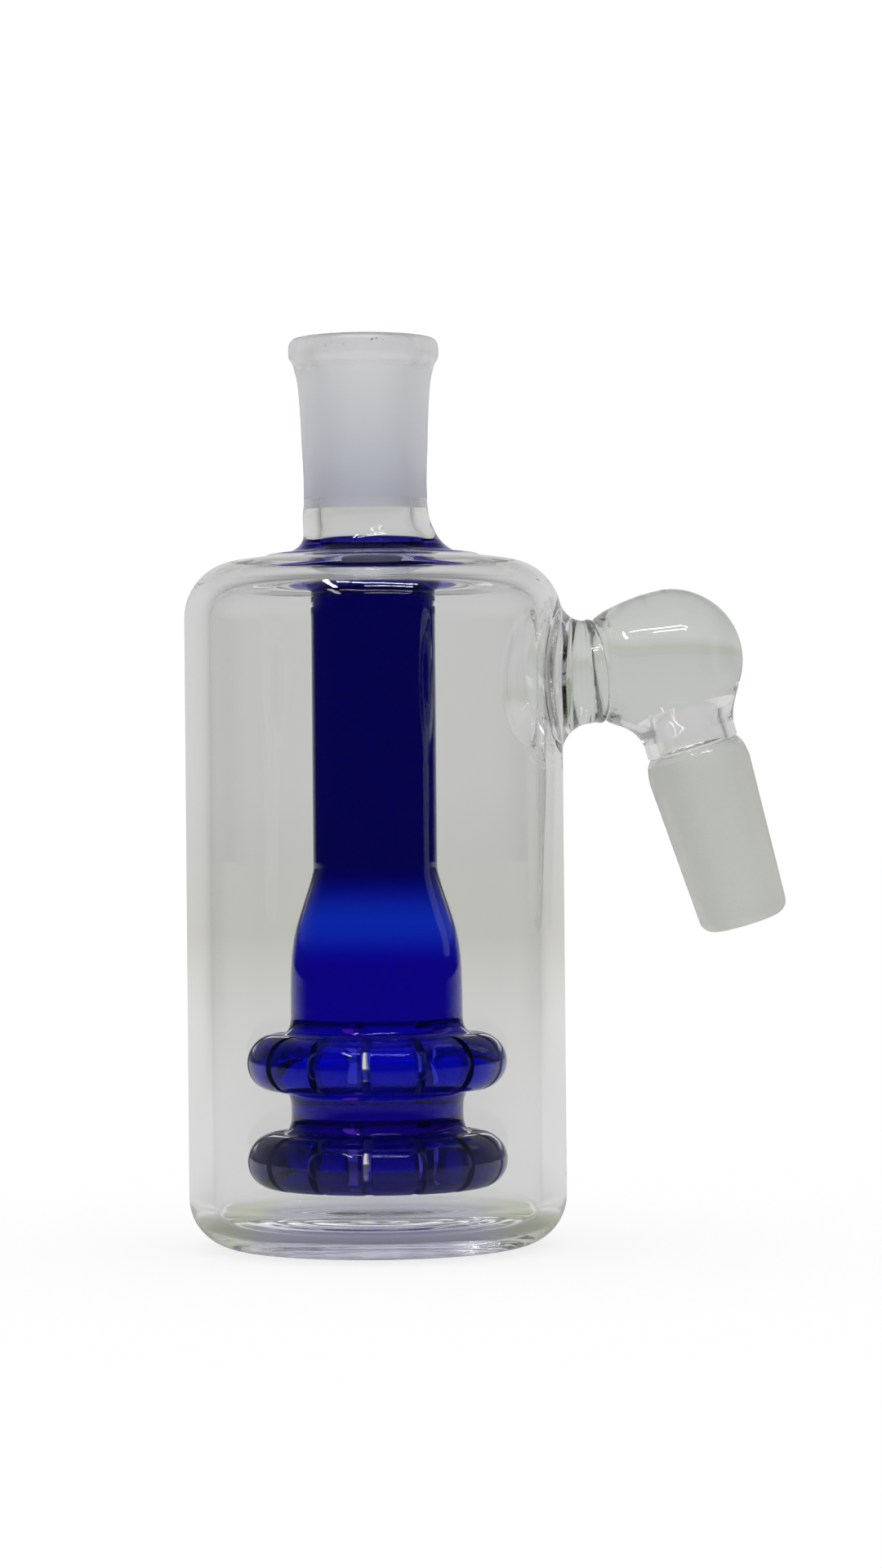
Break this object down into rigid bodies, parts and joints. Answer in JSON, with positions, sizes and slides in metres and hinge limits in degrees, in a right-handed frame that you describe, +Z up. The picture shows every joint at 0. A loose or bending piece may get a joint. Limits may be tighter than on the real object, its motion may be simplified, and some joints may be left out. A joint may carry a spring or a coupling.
{
  "type": "percolator ash catcher",
  "caption": "Clear glass ash catcher: upright can with a ground socket on top, a blue stem with slotted percolator discs inside, and a side arm with a ball elbow and a ground male joint.",
  "frame": {"origin": "centre of the flat face that the can stands on, on the can's axis", "axes": "+Z up along the can's axis to the socket, +X from the can's axis towards the side arm"},
  "size_m": [0.0858, 0.0528, 0.1268],
  "materials": {
    "clear_glass": "fire-polished clear borosilicate glass",
    "blue_glass": "fire-polished cobalt blue glass",
    "ground_glass": "ground, frosted borosilicate glass"
  },
  "bodies": {
    "root": {"can_base": "clear_glass", "can_wall": "clear_glass", "can_shoulder": "clear_glass", "socket": "ground_glass", "collar": "blue_glass", "stem_tube": "blue_glass", "bell": "blue_glass", "upper_disc": "blue_glass", "disc_waist": "blue_glass", "lower_disc": "blue_glass", "arm_neck": "clear_glass", "elbow_bulb": "clear_glass", "joint_shank": "clear_glass", "male_joint": "ground_glass"}
  },
  "joints": []
}
